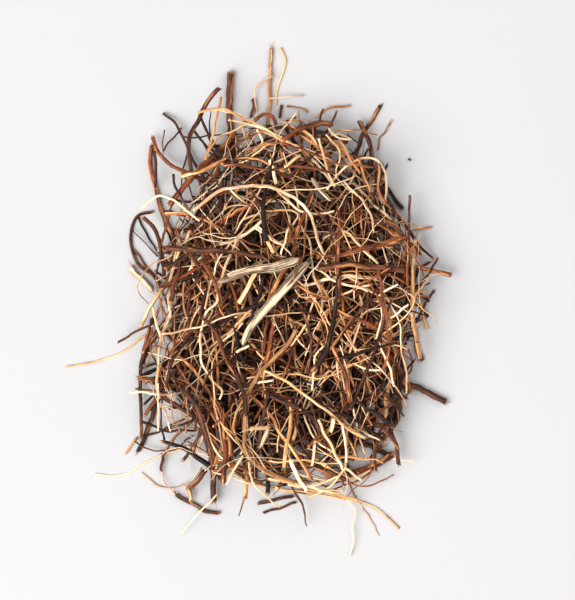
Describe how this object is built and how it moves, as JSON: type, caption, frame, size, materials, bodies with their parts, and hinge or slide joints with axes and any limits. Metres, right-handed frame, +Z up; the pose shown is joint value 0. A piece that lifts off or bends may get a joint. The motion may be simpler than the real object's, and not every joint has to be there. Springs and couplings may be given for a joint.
{
  "type": "dried maral root heap",
  "caption": "Loose tangled heap of dried, cut maral root: thin wiry roots with finer side rootlets, lying flat on a surface.",
  "frame": {"origin": "middle of the heap's underside, on the surface that it lies on", "axes": "+Z up; +Y along the heap's long way; +X to its right, seen from above"},
  "size_m": [0.1632, 0.2155, 0.025],
  "materials": {
    "pale_root": "peeled, pale inner wood, satin and dry",
    "straw_root": "straw coloured dry bark, satin",
    "tan_root": "tan dry bark, matte",
    "brown_root": "red-brown wrinkled bark, matte",
    "dark_root": "dark brown wrinkled bark, matte",
    "grey_root": "grey-beige split wood, matte"
  },
  "bodies": {
    "root": {"core_root": "dark_root", "stray_root_left": "straw_root", "loose_stick_foot": "dark_root", "foot_root_right": "dark_root", "straw_root_foot": "straw_root", "fibre_foot": "pale_root", "fibre_left": "pale_root", "dark_root_left_foot": "dark_root", "dark_root_left": "dark_root", "hoop_root_left": "dark_root", "brown_root_upper_left": "brown_root", "thick_root_top": "dark_root", "straw_root_top": "straw_root", "straw_twig_top": "straw_root", "dark_root_upper_right": "dark_root", "dark_twig_upper_left": "dark_root", "brown_bend_upper_left": "brown_root", "thick_root_lower_left": "dark_root", "core_root_right": "brown_root", "core_root_foot": "brown_root", "core_root_head": "brown_root", "grey_root_left": "grey_root", "brown_root_top": "brown_root", "dark_root_right_shoulder": "dark_root", "dark_root_right": "dark_root", "brown_root_right": "brown_root", "brown_root_right_foot": "brown_root", "dark_root_right_foot": "dark_root", "straw_stick_right_foot": "straw_root", "straw_root_left": "straw_root", "brown_root_left": "brown_root", "brown_root_left_foot": "brown_root", "brown_root_upper_middle": "brown_root", "dark_peeled_root": "dark_root", "grey_root_foot": "grey_root", "tan_root_foot": "tan_root", "tan_root_lower_middle": "tan_root", "straw_root_lower_right": "straw_root", "brown_root_middle_right": "brown_root", "brown_root_middle": "brown_root", "pale_column_left": "pale_root", "tan_root_upper_middle": "tan_root", "tan_root_centre": "tan_root", "frayed_straw_root": "straw_root", "pale_root_upper_right": "pale_root", "grey_root_centre": "grey_root", "pale_root_middle_right": "pale_root", "pale_root_top": "pale_root", "arched_root_right": "pale_root", "pale_root_left_middle": "pale_root", "pale_root_foot_right": "pale_root", "wandering_root": "pale_root", "forked_root_foot": "straw_root", "long_bent_root": "straw_root", "diagonal_root": "straw_root", "grey_splinter": "grey_root", "great_arched_root": "pale_root"}
  },
  "joints": []
}
